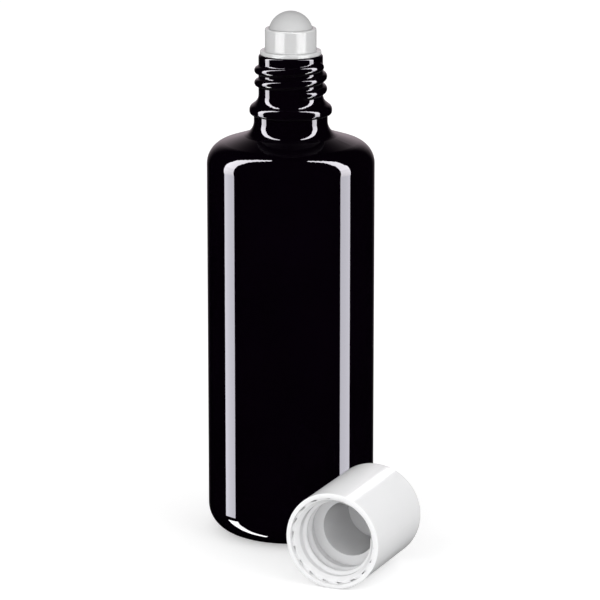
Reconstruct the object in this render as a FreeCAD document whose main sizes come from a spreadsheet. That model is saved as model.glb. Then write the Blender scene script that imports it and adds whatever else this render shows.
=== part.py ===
"""Roll-on bottle of dark glass with a plug-in roller fitment and a white screw cap.

Millimetres, +Z up. The origin is the middle of the bottle's foot, on the surface that it stands on.
The cap is off: it lies on its side beside the bottle, with its axis along Y and its mouth towards -Y.
"""
import FreeCAD, Part
import Sketcher
import math
import os

doc = FreeCAD.newDocument("roll_on_bottle")
upright = FreeCAD.Vector(0, 0, 1)
SAME = 1e-4  # two rings closer than this, in millimetres, are one

# Driving sizes, in millimetres, degrees and counts
SIZES = (
    ("body_diameter", 40.1, "glass body across"),
    ("shoulder_height", 94.8, "foot to the corner of wall and shoulder, before rounding"),
    ("shoulder_slope", 18.0, "slope of the shoulder, degrees"),
    ("shoulder_radius", 5.5, "rounding from wall to shoulder"),
    ("heel_radius", 6.6, "rounding from wall to foot"),
    ("glass_wall", 2.2, "thickness of the body's wall"),
    ("glass_floor", 4.6, "foot to the inside floor"),
    ("punt_diameter", 20.4, "hollow under the foot, across"),
    ("punt_height", 2.2, "hollow under the foot, height"),
    ("neck_diameter", 17.6, "neck below the bead"),
    ("neck_length", 4.2, "shoulder to bead along the neck, before rounding"),
    ("neck_radius", 3.5, "hollow rounding from shoulder to neck"),
    ("bead_reach", 1.05, "bead beyond the neck below it, on the radius"),
    ("bead_band", 1.9, "upright band of the bead"),
    ("bead_rise", 1.62, "sloped top of the bead"),
    ("bead_edge", 0.8, "rounding of the bead's lower edge"),
    ("bead_crown", 1.4, "rounding of the bead's upper edge"),
    ("bead_hollow", 2.4, "hollow rounding from bead to threaded neck"),
    ("finish_height", 10.93, "top of the bead to the lip"),
    ("root_diameter", 15.35, "threaded neck between its ridges"),
    ("bore_diameter", 10.6, "mouth of the glass"),
    ("lip_edge", 0.6, "rounding of the lip"),
    ("thread_bulge", 1.0, "round crest of the neck thread, radius"),
    ("thread_flat", 0.15, "bare wall between two turns of the neck thread"),
    ("thread_pitch", 3.0, "rise of both threads in one turn"),
    ("flare_sink", 0.015, "how far the foot of a thread's flare runs into its wall"),
    ("thread_foot", 2.13, "top of the bead to the start of the thread"),
    ("thread_head", 2.5, "end of the thread to the lip"),
    ("thread_angle", -39.0, "bearing where the neck thread starts, degrees"),
    ("flange_thickness", 1.0, "fitment's flange on the lip"),
    ("flange_inset", 0.4, "flange edge inside the neck's side"),
    ("flange_edge", 0.22, "rounding of the flange's edge"),
    ("plug_length", 8.0, "fitment's plug below the lip"),
    ("plug_gap", 0.12, "plug to glass, beside the ribs"),
    ("plug_wall", 1.2, "wall of the plug"),
    ("plug_lead", 0.5, "rounded lead-in of the plug"),
    ("rib_bite", 0.04, "how far a sealing rib presses into the bore"),
    ("rib_width", 0.7, "sealing rib at its root"),
    ("rib_first", 2.0, "lip to the first sealing rib"),
    ("rib_spacing", 2.2, "between sealing ribs"),
    ("rib_count", 3, "sealing ribs"),
    ("ball_diameter", 10.6, "roller ball"),
    ("ball_gap", 0.08, "ball to its socket"),
    ("socket_wall", 0.74, "wall of the ball cup at its thinnest"),
    ("socket_sink", 0.3, "bottom of the socket below the glass lip"),
    ("socket_floor", 1.2, "floor under the socket"),
    ("rim_hold", 1.22, "rim of the cup above the ball's middle"),
    ("rim_edge", 0.32, "rounding of the cup's rim"),
    ("cup_fillet", 0.2, "hollow rounding from flange to cup"),
    ("feed_diameter", 6.0, "hole that feeds the ball"),
    ("thread_gap", 0.37, "cap to the crest of the neck thread"),
    ("cap_bulge", 0.8, "round crest of the cap thread, radius"),
    ("cap_thread_flat", 0.6, "bare wall between two turns of the cap thread"),
    ("cap_thread_foot", 3.5, "cap's mouth to the start of its thread"),
    ("cap_thread_head", 1.9, "end of the cap's thread to its seat"),
    ("cap_thread_angle", -3.0, "bearing where the cap's thread starts, degrees"),
    ("mouth_step", 1.4, "mouth wider than the thread, on the radius"),
    ("cap_wall", 1.05, "wall of the cap at its mouth"),
    ("mouth_edge", 0.25, "rounding of the mouth's outer edge"),
    ("ledge_depth", 0.9, "mouth to the ratchet ledge"),
    ("ledge_width", 0.65, "ratchet ledge, on the radius"),
    ("lead_in", 1.2, "sloped lead-in from ledge to thread, height"),
    ("notch_count", 18, "ratchet notches"),
    ("notch_inset", 0.1, "wall of the mouth to a ratchet notch"),
    ("notch_width", 0.4, "ratchet notch at its wide end, on the radius"),
    ("notch_length", 1.8, "ratchet notch, along the ring"),
    ("notch_depth", 1.4, "ratchet notch, below the ledge"),
    ("bead_clear", 1.03, "bead to the mouth of the closed cap"),
    ("cup_room", 0.5, "ball cup to the cap's narrow bore"),
    ("ball_room", 6.2, "ball to the end wall of the closed cap"),
    ("end_wall", 1.8, "end wall of the cap"),
    ("end_edge", 1.5, "rounding of the cap's closed end"),
    ("cap_bearing", 37.9, "bearing of the cap's nearest corner, degrees from +X towards -Y"),
    ("cap_clear", 0.56, "cap's nearest corner to the glass"),
)
size = doc.addObject("Spreadsheet::Sheet", "size")
for row, (alias, number, meaning) in enumerate(SIZES, start=1):
    size.set(f"A{row}", meaning)
    size.set(f"B{row}", str(number))
    size.setAlias(f"B{row}", alias)
doc.recompute()

# Radii and heights that follow from the driving sizes
BODY_R = "size.body_diameter / 2"
NECK_R = "size.neck_diameter / 2"
BEAD_R = f"({NECK_R} + size.bead_reach)"
ROOT_R = "size.root_diameter / 2"
BORE_R = "size.bore_diameter / 2"
BALL_R = "size.ball_diameter / 2"
NECK_Z = f"(size.shoulder_height + ({BODY_R} - {NECK_R}) * tan(size.shoulder_slope))"
BEAD_Z = f"({NECK_Z} + size.neck_length)"
BAND_Z = f"({BEAD_Z} + size.bead_band)"
FINISH_Z = f"({BAND_Z} + size.bead_rise)"
LIP_Z = f"({FINISH_Z} + size.finish_height)"
FLANGE_Z = f"({LIP_Z} + size.flange_thickness)"
FLANGE_R = f"({ROOT_R} - size.flange_inset)"
SOCKET_R = f"({BALL_R} + size.ball_gap)"
BALL_Z = f"({LIP_Z} - size.socket_sink + {SOCKET_R})"
RIM_Z = f"({BALL_Z} + size.rim_hold)"
CUP_R = f"({SOCKET_R} + size.socket_wall)"
CAP_BORE_R = f"({ROOT_R} + size.thread_bulge + size.thread_gap)"
MOUTH_R = f"({CAP_BORE_R} + size.mouth_step)"
CAP_R = f"({MOUTH_R} + size.cap_wall)"
SEAT_Z = "(size.finish_height + size.flange_thickness - size.bead_clear)"
CAP_BALL_Z = f"({SEAT_Z} + {BALL_Z} - {FLANGE_Z})"
CAP_END_Z = f"({CAP_BALL_Z} + {BALL_R} + size.ball_room)"
CAP_LENGTH = f"({CAP_END_Z} + size.end_wall)"


def value(expression):
    """The number that an expression on the sheet gives."""
    return float(size.evalExpression(expression))


def origin_part(body, role):
    """The origin plane or axis of a body that has the given role."""
    return next(item for item in body.Origin.OriginFeatures if item.Role == role)


def new_body(label):
    """An empty body whose label names the sub-part."""
    body = doc.addObject("PartDesign::Body", label)
    body.Label = label
    return body


def upright_sketch(body, name, height="0", bearing="0"):
    """A sketch on a plane through the Z axis: its X is the radius and its Y the height."""
    sketch = body.newObject("Sketcher::SketchObject", name)
    sketch.AttachmentSupport = (origin_part(body, "XZ_Plane"), [""])
    sketch.MapMode = "FlatFace"
    turn = FreeCAD.Rotation(FreeCAD.Vector(0, 1, 0), value(bearing))
    sketch.AttachmentOffset = FreeCAD.Placement(FreeCAD.Vector(0, value(height), 0), turn)
    if height != "0":
        sketch.setExpression("AttachmentOffset.Base.y", height)
    if bearing != "0":
        sketch.setExpression("AttachmentOffset.Rotation.Angle", bearing)
    return sketch


def bind(sketch, kind, expression, *where):
    """Add a dimension to a sketch and tie it to the sheet."""
    index = sketch.addConstraint(Sketcher.Constraint(kind, *where, value(expression)))
    sketch.setExpression(f"Constraints[{index}]", expression)


def place_point(sketch, geometry, end, x, y):
    """Hold a point of a sketch at x, y from the sketch's origin, on its axis where either is 0."""
    if x == "0":
        sketch.addConstraint(Sketcher.Constraint("PointOnObject", geometry, end, -2))
    else:
        bind(sketch, "DistanceX", x, -1, 1, geometry, end)
    if y == "0":
        sketch.addConstraint(Sketcher.Constraint("PointOnObject", geometry, end, -1))
    else:
        bind(sketch, "DistanceY", y, -1, 1, geometry, end)


def straight_outline(sketch, corners):
    """Draw a closed outline of straight sides through corners given as pairs of expressions."""
    points = [FreeCAD.Vector(value(x), value(y), 0) for x, y in corners]
    count = len(points)
    for i in range(count):
        sketch.addGeometry(Part.LineSegment(points[i], points[(i + 1) % count]))
    for i in range(count):
        sketch.addConstraint(Sketcher.Constraint("Coincident", i, 2, (i + 1) % count, 1))
    for i, (x, y) in enumerate(corners):
        place_point(sketch, i, 1, x, y)


def turned(body, kind, name, corners):
    """Turn a straight outline about the Z axis, adding to the body or cutting a groove from it."""
    sketch = upright_sketch(body, name + "_outline")
    straight_outline(sketch, corners)
    return spin(body, kind, name, sketch, "V_Axis", 360)


def spin(body, kind, name, sketch, axis, angle, reverse=False):
    """Turn a sketch about one of its own axes."""
    feature = body.newObject(f"PartDesign::{kind}", name)
    feature.Profile = sketch
    feature.ReferenceAxis = (sketch, [axis])
    feature.Angle = angle
    feature.Reversed = reverse
    doc.recompute()
    return feature


def round_edges(body, name, radius, *rings):
    """Round the circular edges that lie at the given radius and height."""
    base = body.Tip
    names = []
    for ring_radius, ring_height in rings:
        for i, edge in enumerate(base.Shape.Edges, start=1):
            curve = edge.Curve
            if not isinstance(curve, Part.Circle):
                continue
            same_radius = abs(curve.Radius - value(ring_radius)) < SAME
            same_height = abs(curve.Center.z - value(ring_height)) < SAME
            if same_radius and same_height and abs(abs(curve.Axis.z) - 1) < SAME:
                names.append(f"Edge{i}")
    if len(names) < len(rings):
        raise RuntimeError(f"{name}: an edge to round is missing")
    feature = body.newObject("PartDesign::Fillet", name)
    feature.Base = (base, names)
    feature.setExpression("Radius", radius)
    doc.recompute()
    return feature


def ridge_outline(sketch, root, bulge, flat, side, whole):
    """Draw the section of a thread ridge: a round crest, flared where it meets a wall of radius root.

    flat is the bare wall between two turns. side is 1 for a ridge that points away from the axis and -1
    for one that points to it. A whole section goes both ways from the sketch's X axis, and otherwise only
    its upper half is drawn.
    """
    sink_at = f"{root} - {side} * {bulge} / 2"
    foot_x = f"{root} - {side} * size.flare_sink"
    foot_z = f"(size.thread_pitch - {flat}) / 2"
    middle = value(root)
    crest = value(bulge)
    sink = value(sink_at)
    wall = value(foot_x)
    reach = value(foot_z)
    dip = value("size.flare_sink")
    flare = (reach ** 2 + dip ** 2 - crest ** 2) / (2 * (crest + dip))
    lean = math.atan2(reach, flare - dip)
    low_end, top_end = (1, 2) if side > 0 else (2, 1)

    def arc(x, z, radius, start, stop):
        """Add an arc from start to stop, which are angles on a ridge that points away from the axis."""
        if side < 0:
            start, stop = math.pi - stop, math.pi - start
        circle = Part.Circle(FreeCAD.Vector(x, z, 0), upright, radius)
        return sketch.addGeometry(Part.ArcOfCircle(circle, start, stop))

    def line(start, stop):
        """Add a straight side between two points given as radius and height."""
        return sketch.addGeometry(Part.LineSegment(FreeCAD.Vector(*start), FreeCAD.Vector(*stop)))

    def hollow(half):
        """Add the flare above (1) or below (-1) the crest and tie it to the crest and the wall."""
        if half > 0:
            at_crest, at_foot, turn = top_end, low_end, (-math.pi, lean - math.pi)
        else:
            at_crest, at_foot, turn = low_end, top_end, (math.pi - lean, math.pi)
        bend = arc(wall + side * flare, half * reach, flare, *turn)
        sketch.addConstraint(Sketcher.Constraint("Tangent", ridge, at_crest, bend, at_crest))
        sketch.addConstraint(Sketcher.Constraint("Horizontal", bend, at_foot, bend, 3))
        place_point(sketch, bend, at_foot, foot_x, f"{half} * {foot_z}")
        return bend

    ridge = arc(middle, 0, crest, -lean if whole else 0, lean)
    place_point(sketch, ridge, 3, root, "0")
    bind(sketch, "Radius", bulge, ridge)
    upper = hollow(1)
    low = -reach if whole else 0
    top_side = line((wall, reach), (sink, reach))
    back_side = line((sink, reach), (sink, low))
    low_side = line((sink, low), (wall if whole else middle + side * crest, low))
    sketch.addConstraint(Sketcher.Constraint("Coincident", upper, low_end, top_side, 1))
    sketch.addConstraint(Sketcher.Constraint("Coincident", top_side, 2, back_side, 1))
    sketch.addConstraint(Sketcher.Constraint("Coincident", back_side, 2, low_side, 1))
    sketch.addConstraint(Sketcher.Constraint("Horizontal", top_side))
    sketch.addConstraint(Sketcher.Constraint("Vertical", back_side))
    sketch.addConstraint(Sketcher.Constraint("Horizontal", low_side))
    bind(sketch, "DistanceX", sink_at, -1, 1, back_side, 1)
    if whole:
        lower = hollow(-1)
        sketch.addConstraint(Sketcher.Constraint("Coincident", low_side, 2, lower, top_end))
    else:
        sketch.addConstraint(Sketcher.Constraint("PointOnObject", ridge, low_end, -1))
        sketch.addConstraint(Sketcher.Constraint("Coincident", low_side, 2, ridge, low_end))


def thread(body, name, root, bulge, flat, side, foot, turns, bearing):
    """Wind a right-hand round ridge up a wall, with both ends rounded off."""
    sketch = upright_sketch(body, name + "_section", foot, bearing)
    ridge_outline(sketch, root, bulge, flat, side, True)
    doc.recompute()
    ridge = body.newObject("PartDesign::AdditiveHelix", name)
    ridge.Profile = sketch
    ridge.ReferenceAxis = (sketch, ["V_Axis"])
    ridge.Mode = "pitch-turns-angle"
    ridge.HasBeenEdited = True
    ridge.setExpression("Pitch", "size.thread_pitch")
    ridge.setExpression("Turns", turns)
    doc.recompute()
    head = f"({foot} + size.thread_pitch * {turns})"
    far_bearing = f"({bearing} + 360 * {turns})"
    ends = (("foot", foot, bearing, False), ("head", head, far_bearing, True))
    for end, height, end_bearing, reverse in ends:
        half = upright_sketch(body, f"{name}_{end}_section", height, end_bearing)
        ridge_outline(half, root, bulge, flat, side, False)
        doc.recompute()
        spin(body, "Revolution", f"{name}_{end}", half, "H_Axis", 180, reverse)


def make_glass_bottle():
    """The glass: a turned body, hollow inside, with a screw thread on its neck."""
    body = new_body("glass_bottle")
    turned(body, "Revolution", "glass_form", (
        ("0", "0"), (BODY_R, "0"), (BODY_R, "size.shoulder_height"), (NECK_R, NECK_Z),
        (NECK_R, BEAD_Z), (BEAD_R, BEAD_Z), (BEAD_R, BAND_Z), (ROOT_R, FINISH_Z),
        (ROOT_R, LIP_Z), ("0", LIP_Z)))
    round_edges(body, "heel_rounding", "size.heel_radius", (BODY_R, "0"))
    round_edges(body, "shoulder_rounding", "size.shoulder_radius", (BODY_R, "size.shoulder_height"))
    round_edges(body, "neck_rounding", "size.neck_radius", (NECK_R, NECK_Z))
    round_edges(body, "bead_rounding", "size.bead_edge", (BEAD_R, BEAD_Z))
    round_edges(body, "bead_crowning", "size.bead_crown", (BEAD_R, BAND_Z))
    round_edges(body, "bead_hollowing", "size.bead_hollow", (ROOT_R, FINISH_Z))
    inner_r = f"({BODY_R} - size.glass_wall)"
    inner_shoulder = ("(size.shoulder_height + size.glass_wall * tan(size.shoulder_slope)"
                      " - size.glass_wall / cos(size.shoulder_slope))")
    inner_neck = f"({inner_shoulder} + ({inner_r} - {BORE_R}) * tan(size.shoulder_slope))"
    turned(body, "Groove", "hollow", (
        ("0", "size.glass_floor"), (inner_r, "size.glass_floor"), (inner_r, inner_shoulder),
        (BORE_R, inner_neck), (BORE_R, LIP_Z), ("0", LIP_Z)))
    round_edges(body, "inner_heel_rounding", "size.heel_radius - size.glass_wall",
                (inner_r, "size.glass_floor"))
    round_edges(body, "inner_shoulder_rounding", "size.shoulder_radius - size.glass_wall",
                (inner_r, inner_shoulder))
    round_edges(body, "inner_neck_rounding", "size.neck_radius", (BORE_R, inner_neck))
    round_edges(body, "lip_rounding", "size.lip_edge", (ROOT_R, LIP_Z), (BORE_R, LIP_Z))
    punt = upright_sketch(body, "punt_outline")
    rise = value("size.punt_height")
    reach = value("size.punt_diameter / 2")
    dome_r = (rise ** 2 + reach ** 2) / (2 * rise)
    middle = FreeCAD.Vector(0, rise - dome_r, 0)
    start = math.atan2(dome_r - rise, reach)
    punt.addGeometry(Part.ArcOfCircle(Part.Circle(middle, upright, dome_r), start, math.pi / 2))
    punt.addGeometry(Part.LineSegment(FreeCAD.Vector(0, rise, 0), FreeCAD.Vector(0, 0, 0)))
    punt.addGeometry(Part.LineSegment(FreeCAD.Vector(0, 0, 0), FreeCAD.Vector(reach, 0, 0)))
    punt.addConstraint(Sketcher.Constraint("PointOnObject", 0, 3, -2))
    punt.addConstraint(Sketcher.Constraint("Coincident", 0, 2, 1, 1))
    punt.addConstraint(Sketcher.Constraint("Coincident", 1, 2, 2, 1))
    punt.addConstraint(Sketcher.Constraint("Coincident", 2, 2, 0, 1))
    punt.addConstraint(Sketcher.Constraint("Coincident", 1, 2, -1, 1))
    place_point(punt, 0, 2, "0", "size.punt_height")
    place_point(punt, 0, 1, "size.punt_diameter / 2", "0")
    spin(body, "Groove", "punt", punt, "V_Axis", 360)
    turns = "((size.finish_height - size.thread_foot - size.thread_head) / size.thread_pitch)"
    thread(body, "neck_thread", ROOT_R, "size.thread_bulge", "size.thread_flat", 1,
           f"({FINISH_Z} + size.thread_foot)", turns, "size.thread_angle")
    return body


def make_roller_housing():
    """The fitment: a ribbed plug in the neck, a flange on the lip and a cup for the ball."""
    body = new_body("roller_housing")
    plug_r = f"({BORE_R} - size.plug_gap)"
    plug_z = f"({LIP_Z} - size.plug_length)"
    turned(body, "Revolution", "fitment_form", (
        ("0", plug_z), (plug_r, plug_z), (plug_r, LIP_Z), (FLANGE_R, LIP_Z),
        (FLANGE_R, FLANGE_Z), (CUP_R, FLANGE_Z), (CUP_R, RIM_Z), ("0", RIM_Z)))
    round_edges(body, "rim_rounding", "size.rim_edge", (CUP_R, RIM_Z))
    round_edges(body, "cup_foot_rounding", "size.cup_fillet", (CUP_R, FLANGE_Z))
    round_edges(body, "flange_rounding", "size.flange_edge", (FLANGE_R, LIP_Z), (FLANGE_R, FLANGE_Z))
    round_edges(body, "plug_lead_in", "size.plug_lead", (plug_r, plug_z))
    socket = upright_sketch(body, "socket_outline", BALL_Z)
    reach = value(SOCKET_R)
    circle = Part.Circle(FreeCAD.Vector(0, 0, 0), upright, reach)
    socket.addGeometry(Part.ArcOfCircle(circle, -math.pi / 2, math.pi / 2))
    socket.addGeometry(Part.LineSegment(FreeCAD.Vector(0, reach, 0), FreeCAD.Vector(0, -reach, 0)))
    socket.addConstraint(Sketcher.Constraint("Coincident", 0, 3, -1, 1))
    socket.addConstraint(Sketcher.Constraint("Coincident", 0, 2, 1, 1))
    socket.addConstraint(Sketcher.Constraint("Coincident", 1, 2, 0, 1))
    socket.addConstraint(Sketcher.Constraint("PointOnObject", 0, 1, -2))
    socket.addConstraint(Sketcher.Constraint("PointOnObject", 0, 2, -2))
    bind(socket, "Radius", SOCKET_R, 0)
    spin(body, "Groove", "socket", socket, "V_Axis", 360)
    feed_r = "size.feed_diameter / 2"
    turned(body, "Groove", "feed_hole", (
        ("0", plug_z), (feed_r, plug_z), (feed_r, BALL_Z), ("0", BALL_Z)))
    plug_bore = f"({plug_r} - size.plug_wall)"
    bore_top = f"({LIP_Z} - size.socket_sink - size.socket_floor)"
    turned(body, "Groove", "plug_bore", (
        ("0", plug_z), (plug_bore, plug_z), (plug_bore, bore_top), ("0", bore_top)))
    rib_z = f"({LIP_Z} - size.rib_first)"
    rib = turned(body, "Revolution", "sealing_rib", (
        (f"{plug_r} - size.plug_wall / 2", f"{rib_z} - size.rib_width / 2"),
        (plug_r, f"{rib_z} - size.rib_width / 2"),
        (f"{BORE_R} + size.rib_bite", rib_z),
        (plug_r, f"{rib_z} + size.rib_width / 2"),
        (f"{plug_r} - size.plug_wall / 2", f"{rib_z} + size.rib_width / 2")))
    ribs = body.newObject("PartDesign::LinearPattern", "sealing_ribs")
    ribs.Originals = [rib]
    ribs.Direction = (origin_part(body, "Z_Axis"), [""])
    ribs.Reversed = True
    ribs.setExpression("Length", "size.rib_spacing * (size.rib_count - 1)")
    ribs.setExpression("Occurrences", "size.rib_count")
    body.Tip = ribs
    doc.recompute()
    return body


def make_roller_ball():
    """The loose ball, in the middle of its socket."""
    ball = doc.addObject("Part::Sphere", "roller_ball")
    ball.Label = "roller_ball"
    ball.setExpression("Radius", BALL_R)
    ball.setExpression("Placement.Base.z", BALL_Z)
    doc.recompute()
    return ball


def make_screw_cap():
    """The cap, modelled with its mouth down at Z = 0 and then laid on its side on the floor."""
    body = new_body("screw_cap")
    narrow_r = f"({CUP_R} + size.cup_room)"
    ledge_r = f"({MOUTH_R} - size.ledge_width)"
    lead_z = "(size.ledge_depth + size.lead_in)"
    turned(body, "Revolution", "cap_form", (
        (MOUTH_R, "0"), (CAP_R, "0"), (CAP_R, CAP_LENGTH), ("0", CAP_LENGTH),
        ("0", CAP_END_Z), (narrow_r, CAP_END_Z), (narrow_r, SEAT_Z), (CAP_BORE_R, SEAT_Z),
        (CAP_BORE_R, lead_z), (ledge_r, "size.ledge_depth"), (MOUTH_R, "size.ledge_depth")))
    round_edges(body, "end_rounding", "size.end_edge", (CAP_R, CAP_LENGTH))
    round_edges(body, "mouth_rounding", "size.mouth_edge", (CAP_R, "0"))
    turns = f"(({SEAT_Z} - size.cap_thread_foot - size.cap_thread_head) / size.thread_pitch)"
    thread(body, "cap_thread", CAP_BORE_R, "size.cap_bulge", "size.cap_thread_flat", -1,
           "size.cap_thread_foot", turns, "size.cap_thread_angle")
    notch = body.newObject("Sketcher::SketchObject", "notch_outline")
    notch.AttachmentSupport = (origin_part(body, "XY_Plane"), [""])
    notch.MapMode = "FlatFace"
    notch.setExpression("AttachmentOffset.Base.z", "size.ledge_depth")
    notch_r = f"({MOUTH_R} - size.notch_inset)"
    half_notch = "size.notch_length / 2"
    straight_outline(notch, (
        (notch_r, f"-{half_notch}"), (notch_r, half_notch), (f"{notch_r} - size.notch_width", half_notch)))
    doc.recompute()
    first_notch = body.newObject("PartDesign::Pocket", "ratchet_notch")
    first_notch.Profile = notch
    first_notch.setExpression("Length", "size.notch_depth")
    first_notch.Reversed = True
    doc.recompute()
    ring = body.newObject("PartDesign::PolarPattern", "ratchet_ring")
    ring.Originals = [first_notch]
    ring.Axis = (origin_part(body, "Z_Axis"), [""])
    ring.Angle = 360
    ring.setExpression("Occurrences", "size.notch_count")
    body.Tip = ring
    doc.recompute()
    reach = f"({BODY_R} + size.cap_clear)"
    body.Placement.Rotation = FreeCAD.Rotation(FreeCAD.Vector(1, 0, 0), -90)
    body.setExpression("Placement.Base.x", f"{reach} * cos(size.cap_bearing) + {CAP_R}")
    body.setExpression("Placement.Base.y", f"-{reach} * sin(size.cap_bearing) - {CAP_LENGTH}")
    body.setExpression("Placement.Base.z", CAP_R)
    doc.recompute()
    return body


sub_parts = [make_glass_bottle(), make_roller_housing(), make_roller_ball(), make_screw_cap()]

# Nothing is written unless every feature worked and every sub-part is one sound solid
for item in doc.Objects:
    if "Invalid" in item.State or "Error" in item.State:
        raise RuntimeError(f"{item.Name} failed: {item.State}")
for sub_part in sub_parts:
    shape = sub_part.Shape
    if shape.isNull() or not shape.isValid() or len(shape.Solids) != 1:
        raise RuntimeError(f"{sub_part.Label} is not one sound solid")

os.makedirs("parts", exist_ok=True)
for sub_part in sub_parts:
    sub_part.Shape.exportStep(f"parts/{sub_part.Label}.step")
    print(sub_part.Label, round(sub_part.Shape.Volume, 2), "mm3")
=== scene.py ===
"""Looks of a roll-on bottle: dark glass, a plug-in roller fitment, its ball and a white screw cap."""
import math

import bmesh
import bpy
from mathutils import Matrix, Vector

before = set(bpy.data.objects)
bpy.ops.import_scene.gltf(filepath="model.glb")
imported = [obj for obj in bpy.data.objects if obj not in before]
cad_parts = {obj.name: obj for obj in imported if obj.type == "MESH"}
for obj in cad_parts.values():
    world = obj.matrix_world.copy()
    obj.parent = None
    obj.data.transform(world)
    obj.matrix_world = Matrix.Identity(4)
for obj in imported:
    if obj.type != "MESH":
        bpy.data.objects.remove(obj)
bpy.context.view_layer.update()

# The glass bottle is blown in one piece from violet glass, so deep that it looks black. Its walls are
# fire-polished and gently wavy from the mould, so the edges of what they mirror waver a little. A lamp
# that the glass mirrors twice turns dull.
GLASS_LIT = (0.0024, 0.0008, 0.0032, 1.0)
GLASS_DEEP = (0.0006, 0.0002, 0.0008, 1.0)
GLASS_BENDS = 1.52


def feed(tree, source, target):
    """Give a socket what it takes in: another socket, or a plain number or colour."""
    if isinstance(source, bpy.types.NodeSocket):
        tree.links.new(source, target)
    else:
        target.default_value = source


def mixed(tree, factor, first, second):
    """Mix two colours, each a socket or a plain colour, and return the result's socket."""
    node = tree.nodes.new("ShaderNodeMix")
    node.data_type = "RGBA"
    feed(tree, factor, node.inputs["Factor"])
    colours = [socket for socket in node.inputs if socket.type == "RGBA"]
    for colour, socket in zip((first, second), colours):
        feed(tree, colour, socket)
    return next(socket for socket in node.outputs if socket.type == "RGBA")


def maths(tree, operation, first, second):
    """Work out one value from two, each a socket or a number, and return the result's socket."""
    node = tree.nodes.new("ShaderNodeMath")
    node.operation = operation
    feed(tree, first, node.inputs[0])
    feed(tree, second, node.inputs[1])
    return node.outputs["Value"]


def moulding_marks():
    """A node group with the marks of a mould: slow waves, clouds in the colour and a fine grain."""
    kinds = (("Wave Scale", "Waves", 1.0), ("Cloud Scale", "Clouds", 3.0), ("Grain Scale", "Grain", 2.0))
    group = bpy.data.node_groups.new("moulding_marks", "ShaderNodeTree")
    for scale, mark, detail in kinds:
        group.interface.new_socket(name=scale, in_out="INPUT", socket_type="NodeSocketFloat")
        group.interface.new_socket(name=mark, in_out="OUTPUT", socket_type="NodeSocketFloat")
    given = group.nodes.new("NodeGroupInput")
    result = group.nodes.new("NodeGroupOutput")
    place = group.nodes.new("ShaderNodeTexCoord")
    for scale, mark, detail in kinds:
        noise = group.nodes.new("ShaderNodeTexNoise")
        feed(group, detail, noise.inputs["Detail"])
        feed(group, place.outputs["Object"], noise.inputs["Vector"])
        feed(group, given.outputs[scale], noise.inputs["Scale"])
        feed(group, noise.outputs["Fac"], result.inputs[mark])
    return group


marks_group = moulding_marks()


def moulded_material(name, pale, deep, smooth, rough, wave_depth, grain_depth, scales):
    """A glossy moulded finish. Its colour clouds between two shades and its gloss between two roughnesses.

    wave_depth and grain_depth are the heights of the surface's waves and grain, in metres. scales holds
    how many waves, clouds and grains there are to a metre.
    """
    material = bpy.data.materials.new(name)
    material.use_nodes = True
    tree = material.node_tree
    shader = tree.nodes["Principled BSDF"]
    marks = tree.nodes.new("ShaderNodeGroup")
    marks.node_tree = marks_group
    for scale, socket in zip(scales, marks.inputs):
        feed(tree, scale, socket)
    tint = mixed(tree, marks.outputs["Clouds"], deep, pale)
    feed(tree, tint, shader.inputs["Base Color"])
    gloss = tree.nodes.new("ShaderNodeMapRange")
    feed(tree, smooth, gloss.inputs["To Min"])
    feed(tree, rough, gloss.inputs["To Max"])
    feed(tree, marks.outputs["Grain"], gloss.inputs["Value"])
    feed(tree, gloss.outputs["Result"], shader.inputs["Roughness"])
    waves = tree.nodes.new("ShaderNodeBump")
    feed(tree, wave_depth, waves.inputs["Distance"])
    feed(tree, marks.outputs["Waves"], waves.inputs["Height"])
    grain = tree.nodes.new("ShaderNodeBump")
    feed(tree, grain_depth, grain.inputs["Distance"])
    feed(tree, marks.outputs["Grain"], grain.inputs["Height"])
    feed(tree, waves.outputs["Normal"], grain.inputs["Normal"])
    feed(tree, grain.outputs["Normal"], shader.inputs["Normal"])
    return material, shader


def dull_when_mirrored(material, shader):
    """Make a finish rough where another surface mirrors it, so that no lamp shows in it there."""
    tree = material.node_tree
    path = tree.nodes.new("ShaderNodeLightPath")
    gloss = shader.inputs["Roughness"].links[0].from_socket
    dulled = maths(tree, "MAXIMUM", gloss, path.outputs["Is Glossy Ray"])
    feed(tree, dulled, shader.inputs["Roughness"])


def dress(node, material):
    """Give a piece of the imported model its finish."""
    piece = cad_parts[node]
    piece.data.materials.clear()
    piece.data.materials.append(material)
    return piece


dark_glass, glass_shader = moulded_material(
    "dark_glass", GLASS_LIT, GLASS_DEEP, smooth=0.01, rough=0.03,
    wave_depth=8e-6, grain_depth=2e-7, scales=(140.0, 45.0, 3000.0))
glass_shader.inputs["IOR"].default_value = GLASS_BENDS
dull_when_mirrored(dark_glass, glass_shader)
dress("glass_bottle", dark_glass)

# The roller fitment is one injection moulding of natural plastic, pressed into the bore of the neck until
# its flange sits on the lip. Its walls are thin and glossy and let a little light through. The dark glass
# mirrors it, the ball and the cap as dark shapes, because their colour is painted black where another
# surface mirrors them.
PLASTIC_PALE = (0.66, 0.66, 0.66, 1.0)
PLASTIC_DEEP = (0.62, 0.62, 0.625, 1.0)
BLACK = (0.0, 0.0, 0.0, 1.0)


def let_light_in(shader, share, depth):
    """Let a share of the light wander inside a finish, about as far as depth, in metres."""
    shader.inputs["Subsurface Weight"].default_value = share
    shader.inputs["Subsurface Radius"].default_value = (1.0, 1.0, 1.0)
    shader.inputs["Subsurface Scale"].default_value = depth


def dark_in_glass(material, shader):
    """Turn a pale finish dark and dull where another surface mirrors it."""
    dull_when_mirrored(material, shader)
    tree = material.node_tree
    path = tree.nodes.new("ShaderNodeLightPath")
    pale = shader.inputs["Base Color"].links[0].from_socket
    shade = mixed(tree, path.outputs["Is Glossy Ray"], pale, BLACK)
    feed(tree, shade, shader.inputs["Base Color"])


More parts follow.
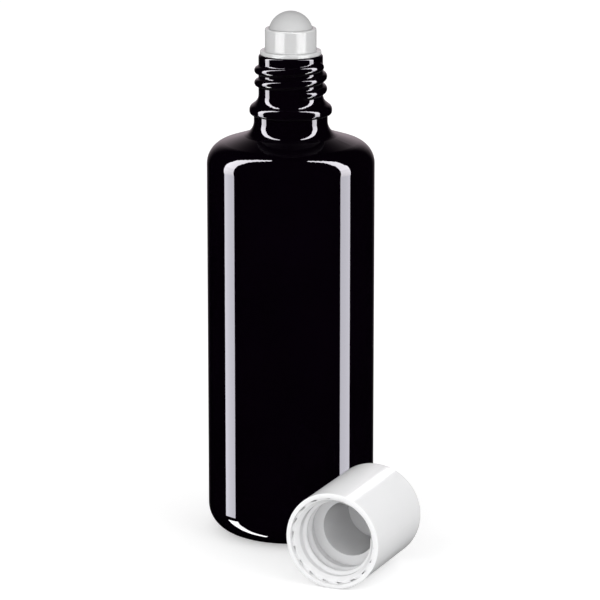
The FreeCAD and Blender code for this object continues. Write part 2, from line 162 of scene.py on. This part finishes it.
natural_plastic, plastic_shader = moulded_material(
    "natural_plastic", PLASTIC_PALE, PLASTIC_DEEP, smooth=0.16, rough=0.24,
    wave_depth=4e-6, grain_depth=5e-7, scales=(400.0, 250.0, 9000.0))
let_light_in(plastic_shader, share=0.35, depth=0.0012)
dark_in_glass(natural_plastic, plastic_shader)
dress("roller_housing", natural_plastic)

# The roller ball is a solid ball of grey plastic, ground to a satin finish. It lies loose in its socket,
# and the rim of the cup, snapped over its middle, holds it.
BALL_PALE = (0.50, 0.50, 0.50, 1.0)
BALL_DEEP = (0.45, 0.45, 0.455, 1.0)
ball_plastic, ball_shader = moulded_material(
    "ball_plastic", BALL_PALE, BALL_DEEP, smooth=0.42, rough=0.52,
    wave_depth=2e-6, grain_depth=2e-6, scales=(300.0, 200.0, 7000.0))
dark_in_glass(ball_plastic, ball_shader)
dress("roller_ball", ball_plastic)

# The screw cap is one injection moulding of glossy white plastic, unscrewed and laid on its side. Inside
# are its thread and, at the mouth, a ring of saw-tooth notches.
CAP_PALE = (0.92, 0.92, 0.925, 1.0)
CAP_DEEP = (0.89, 0.89, 0.9, 1.0)
white_plastic, cap_shader = moulded_material(
    "white_plastic", CAP_PALE, CAP_DEEP, smooth=0.14, rough=0.22,
    wave_depth=6e-6, grain_depth=5e-7, scales=(150.0, 90.0, 6000.0))
let_light_in(cap_shader, share=0.4, depth=0.0015)
dark_in_glass(white_plastic, cap_shader)
dress("screw_cap", white_plastic)

# The camera stands to the front right of the frame and looks down a little, through a long lens from
# about a metre away, so that the bottle's sides stay nearly parallel.
VIEW_BEARING = math.radians(23.0)
VIEW_PITCH = math.radians(14.0)
VIEW_DISTANCE = 0.9
VIEW_LENS = 224.0
AIM_HEIGHT = 0.057
AIM_SIDE = 0.0022
rightward = Vector((math.cos(VIEW_BEARING), math.sin(VIEW_BEARING), 0.0))
to_camera = Vector((math.sin(VIEW_BEARING), -math.cos(VIEW_BEARING), 0.0))
upward = Vector((0.0, 0.0, 1.0))
aim = upward * AIM_HEIGHT + rightward * AIM_SIDE
camera_data = bpy.data.cameras.new("camera")
camera_data.lens = VIEW_LENS
camera = bpy.data.objects.new("camera", camera_data)
bpy.context.scene.collection.objects.link(camera)
sight = to_camera * math.cos(VIEW_PITCH) + upward * math.sin(VIEW_PITCH)
camera.location = aim + sight * VIEW_DISTANCE
camera.rotation_euler = sight.to_track_quat("Z", "Y").to_euler()
bpy.context.scene.camera = camera

# The floor is a plain white sheet of paper. It takes the soft shadow, it is lifted to white for the camera
# so that it runs into the backdrop without an edge, and the dark glass doesn't mirror it.
FLOOR_HALF = 1.5
FLOOR_WHITE = (0.85, 0.85, 0.85, 1.0)
FLOOR_ROUGHNESS = 0.9
FLOOR_LIFT = 0.4
WHITE = (1.0, 1.0, 1.0, 1.0)
sheet = bmesh.new()
bmesh.ops.create_grid(sheet, x_segments=1, y_segments=1, size=FLOOR_HALF)
floor_mesh = bpy.data.meshes.new("floor")
sheet.to_mesh(floor_mesh)
sheet.free()
floor = bpy.data.objects.new("floor", floor_mesh)
bpy.context.scene.collection.objects.link(floor)
floor_paper = bpy.data.materials.new("floor_paper")
floor_paper.use_nodes = True
floor_tree = floor_paper.node_tree
floor_shader = floor_tree.nodes["Principled BSDF"]
floor_shader.inputs["Base Color"].default_value = FLOOR_WHITE
floor_shader.inputs["Roughness"].default_value = FLOOR_ROUGHNESS
floor_shader.inputs["Emission Color"].default_value = WHITE
floor_path = floor_tree.nodes.new("ShaderNodeLightPath")
floor_lift = maths(floor_tree, "MULTIPLY", floor_path.outputs["Is Camera Ray"], FLOOR_LIFT)
feed(floor_tree, floor_lift, floor_shader.inputs["Emission Strength"])
floor_mesh.materials.append(floor_paper)
floor.visible_glossy = False

# Two soft boxes stand left and right of the camera, low enough to reach into the cap's mouth. They light
# the pale pieces and lay the soft shadow, and no surface mirrors them.
def panel(name, bearing, width, low, high, distance, radiance, tint=(1.0, 1.0, 1.0)):
    """A flat light that stands upright round the object and faces its axis.

    bearing and width are degrees round the axis, the bearing from the camera's side and positive to its
    right. low and high are the elevations of its ends in degrees, distance is in metres, and radiance is
    how bright it looks.
    """
    turn = math.radians(bearing)
    outward = to_camera * math.cos(turn) + rightward * math.sin(turn)
    bottom = distance * math.tan(math.radians(low))
    top = distance * math.tan(math.radians(high))
    lamp = bpy.data.lights.new(name, "AREA")
    lamp.shape = "RECTANGLE"
    lamp.size = 2 * distance * math.tan(math.radians(width) / 2)
    lamp.size_y = top - bottom
    lamp.energy = radiance * math.pi * lamp.size * lamp.size_y
    lamp.color = tint
    light = bpy.data.objects.new(name, lamp)
    light.location = outward * distance + upward * (top + bottom) / 2
    light.rotation_euler = outward.to_track_quat("Z", "Y").to_euler()
    light.visible_camera = False
    bpy.context.scene.collection.objects.link(light)
    return light


for side, bearing in (("left", -42.0), ("right", 48.0)):
    soft_box = panel("soft_box_" + side, bearing, width=40.0, low=8.0, high=48.0,
                     distance=1.0, radiance=1.3)
    soft_box.visible_glossy = False

# Two tall strip lights stand beside the bottle, brighter towards the top, with a lit card under each.
# They are flagged so that only the glass sees them, as two long lines and the wedges round its heel.
STRIP_DISTANCE = 0.6
LAVENDER = (1.0, 0.98, 1.09)
PALE_LAVENDER = (1.0, 0.965, 1.035)


def kept_to(light, node):
    """Let a light reach one piece alone."""
    pieces = bpy.data.collections.new(light.name + "_on")
    pieces.objects.link(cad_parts[node])
    light.light_linking.receiver_collection = pieces


def mirrored_on(light, node):
    """Keep a light to the reflections in one piece."""
    light.visible_diffuse = False
    kept_to(light, node)


# Each step of a strip has a lower and an upper elevation, a gain over the lowest step, and a tint.
STRIP_STEPS = (
    (-19.0, -2.6, 1.0, LAVENDER),
    (-2.6, 2.0, 1.2, PALE_LAVENDER),
    (2.0, 9.0, 1.33, PALE_LAVENDER),
    (9.0, 20.0, 1.48, PALE_LAVENDER),
    (20.0, 76.0, 1.7, PALE_LAVENDER),
)
for side, bearing, width, radiance in (("left", -92.5, 19.0, 9.3), ("right", 79.6, 17.0, 10.0)):
    card = panel("card_" + side, bearing, width, low=-72.0, high=-26.0,
                 distance=STRIP_DISTANCE, radiance=17.0)
    mirrored_on(card, "glass_bottle")
    for step, (low, high, gain, tint) in enumerate(STRIP_STEPS):
        strip = panel(f"strip_{side}_{step}", bearing, width, low, high,
                      STRIP_DISTANCE, gain * radiance, tint)
        mirrored_on(strip, "glass_bottle")

# The fitment and the cap were each lit for their own gloss: two broad bands and a bright rim on the upright
# cup, and a lamp from behind for the white streak along the cap. Soft fills lift the cap and the ball.
for side, bearing in (("left", -50.0), ("right", 50.0)):
    band = panel("band_" + side, bearing, width=44.0, low=-40.0, high=20.0, distance=1.0, radiance=8.5)
    mirrored_on(band, "roller_housing")
band_top = panel("band_top", bearing=0.0, width=100.0, low=40.0, high=75.0, distance=1.0, radiance=16.0)
mirrored_on(band_top, "roller_housing")
cap_streak = panel("cap_streak", bearing=159.3, width=9.0, low=18.0, high=38.0, distance=1.2, radiance=4.0)
mirrored_on(cap_streak, "screw_cap")
for name, node, bearing, width, low, high, radiance in (
        ("cap_fill", "screw_cap", 0.0, 14.0, 6.0, 22.0, 3.2),
        ("cap_top_fill", "screw_cap", -90.0, 40.0, 50.0, 75.0, 3.8),
        ("ball_fill", "roller_ball", 0.0, 40.0, -12.0, 12.0, 8.0)):
    fill = panel(name, bearing, width, low, high, distance=1.0, radiance=radiance)
    fill.visible_glossy = False
    kept_to(fill, node)

# The studio is white to the camera. Rough surfaces see pale walls under a greyer ceiling, and glossy ones
# see it dark but for the lit backdrop behind the object, which fades out all round.
FILL_ROUND = (1.0, 1.0, 1.0, 1.0)
FILL_ABOVE = (0.65, 0.65, 0.65, 1.0)
GLOW = (0.66, 0.56, 0.61, 1.0)
GLOW_RISE = math.radians(8.0)
GLOW_REACH = math.radians(42.0)
GLOW_FALL = 4.0
studio = bpy.data.worlds.new("studio")
studio.use_nodes = True
bpy.context.scene.world = studio
studio_tree = studio.node_tree
studio_path = studio_tree.nodes.new("ShaderNodeLightPath")
direction = studio_tree.nodes.new("ShaderNodeTexCoord")
nearness = studio_tree.nodes.new("ShaderNodeVectorMath")
nearness.operation = "DOT_PRODUCT"
feed(studio_tree, direction.outputs["Generated"], nearness.inputs[0])
feed(studio_tree, upward * math.sin(GLOW_RISE) - to_camera * math.cos(GLOW_RISE), nearness.inputs[1])
within = studio_tree.nodes.new("ShaderNodeMapRange")
feed(studio_tree, math.cos(GLOW_REACH), within.inputs["From Min"])
feed(studio_tree, nearness.outputs["Value"], within.inputs["Value"])
fade = maths(studio_tree, "POWER", within.outputs["Result"], GLOW_FALL)
backdrop = mixed(studio_tree, fade, BLACK, GLOW)
height = studio_tree.nodes.new("ShaderNodeSeparateXYZ")
feed(studio_tree, direction.outputs["Generated"], height.inputs["Vector"])
fill_light = mixed(studio_tree, height.outputs["Z"], FILL_ROUND, FILL_ABOVE)
mirrored = maths(studio_tree, "MAXIMUM", studio_path.outputs["Is Glossy Ray"],
                 studio_path.outputs["Is Transmission Ray"])
off_camera = mixed(studio_tree, mirrored, fill_light, backdrop)
surround = mixed(studio_tree, studio_path.outputs["Is Camera Ray"], off_camera, WHITE)
feed(studio_tree, surround, studio_tree.nodes["Background"].inputs["Color"])

bpy.context.scene.view_settings.view_transform = "Standard"
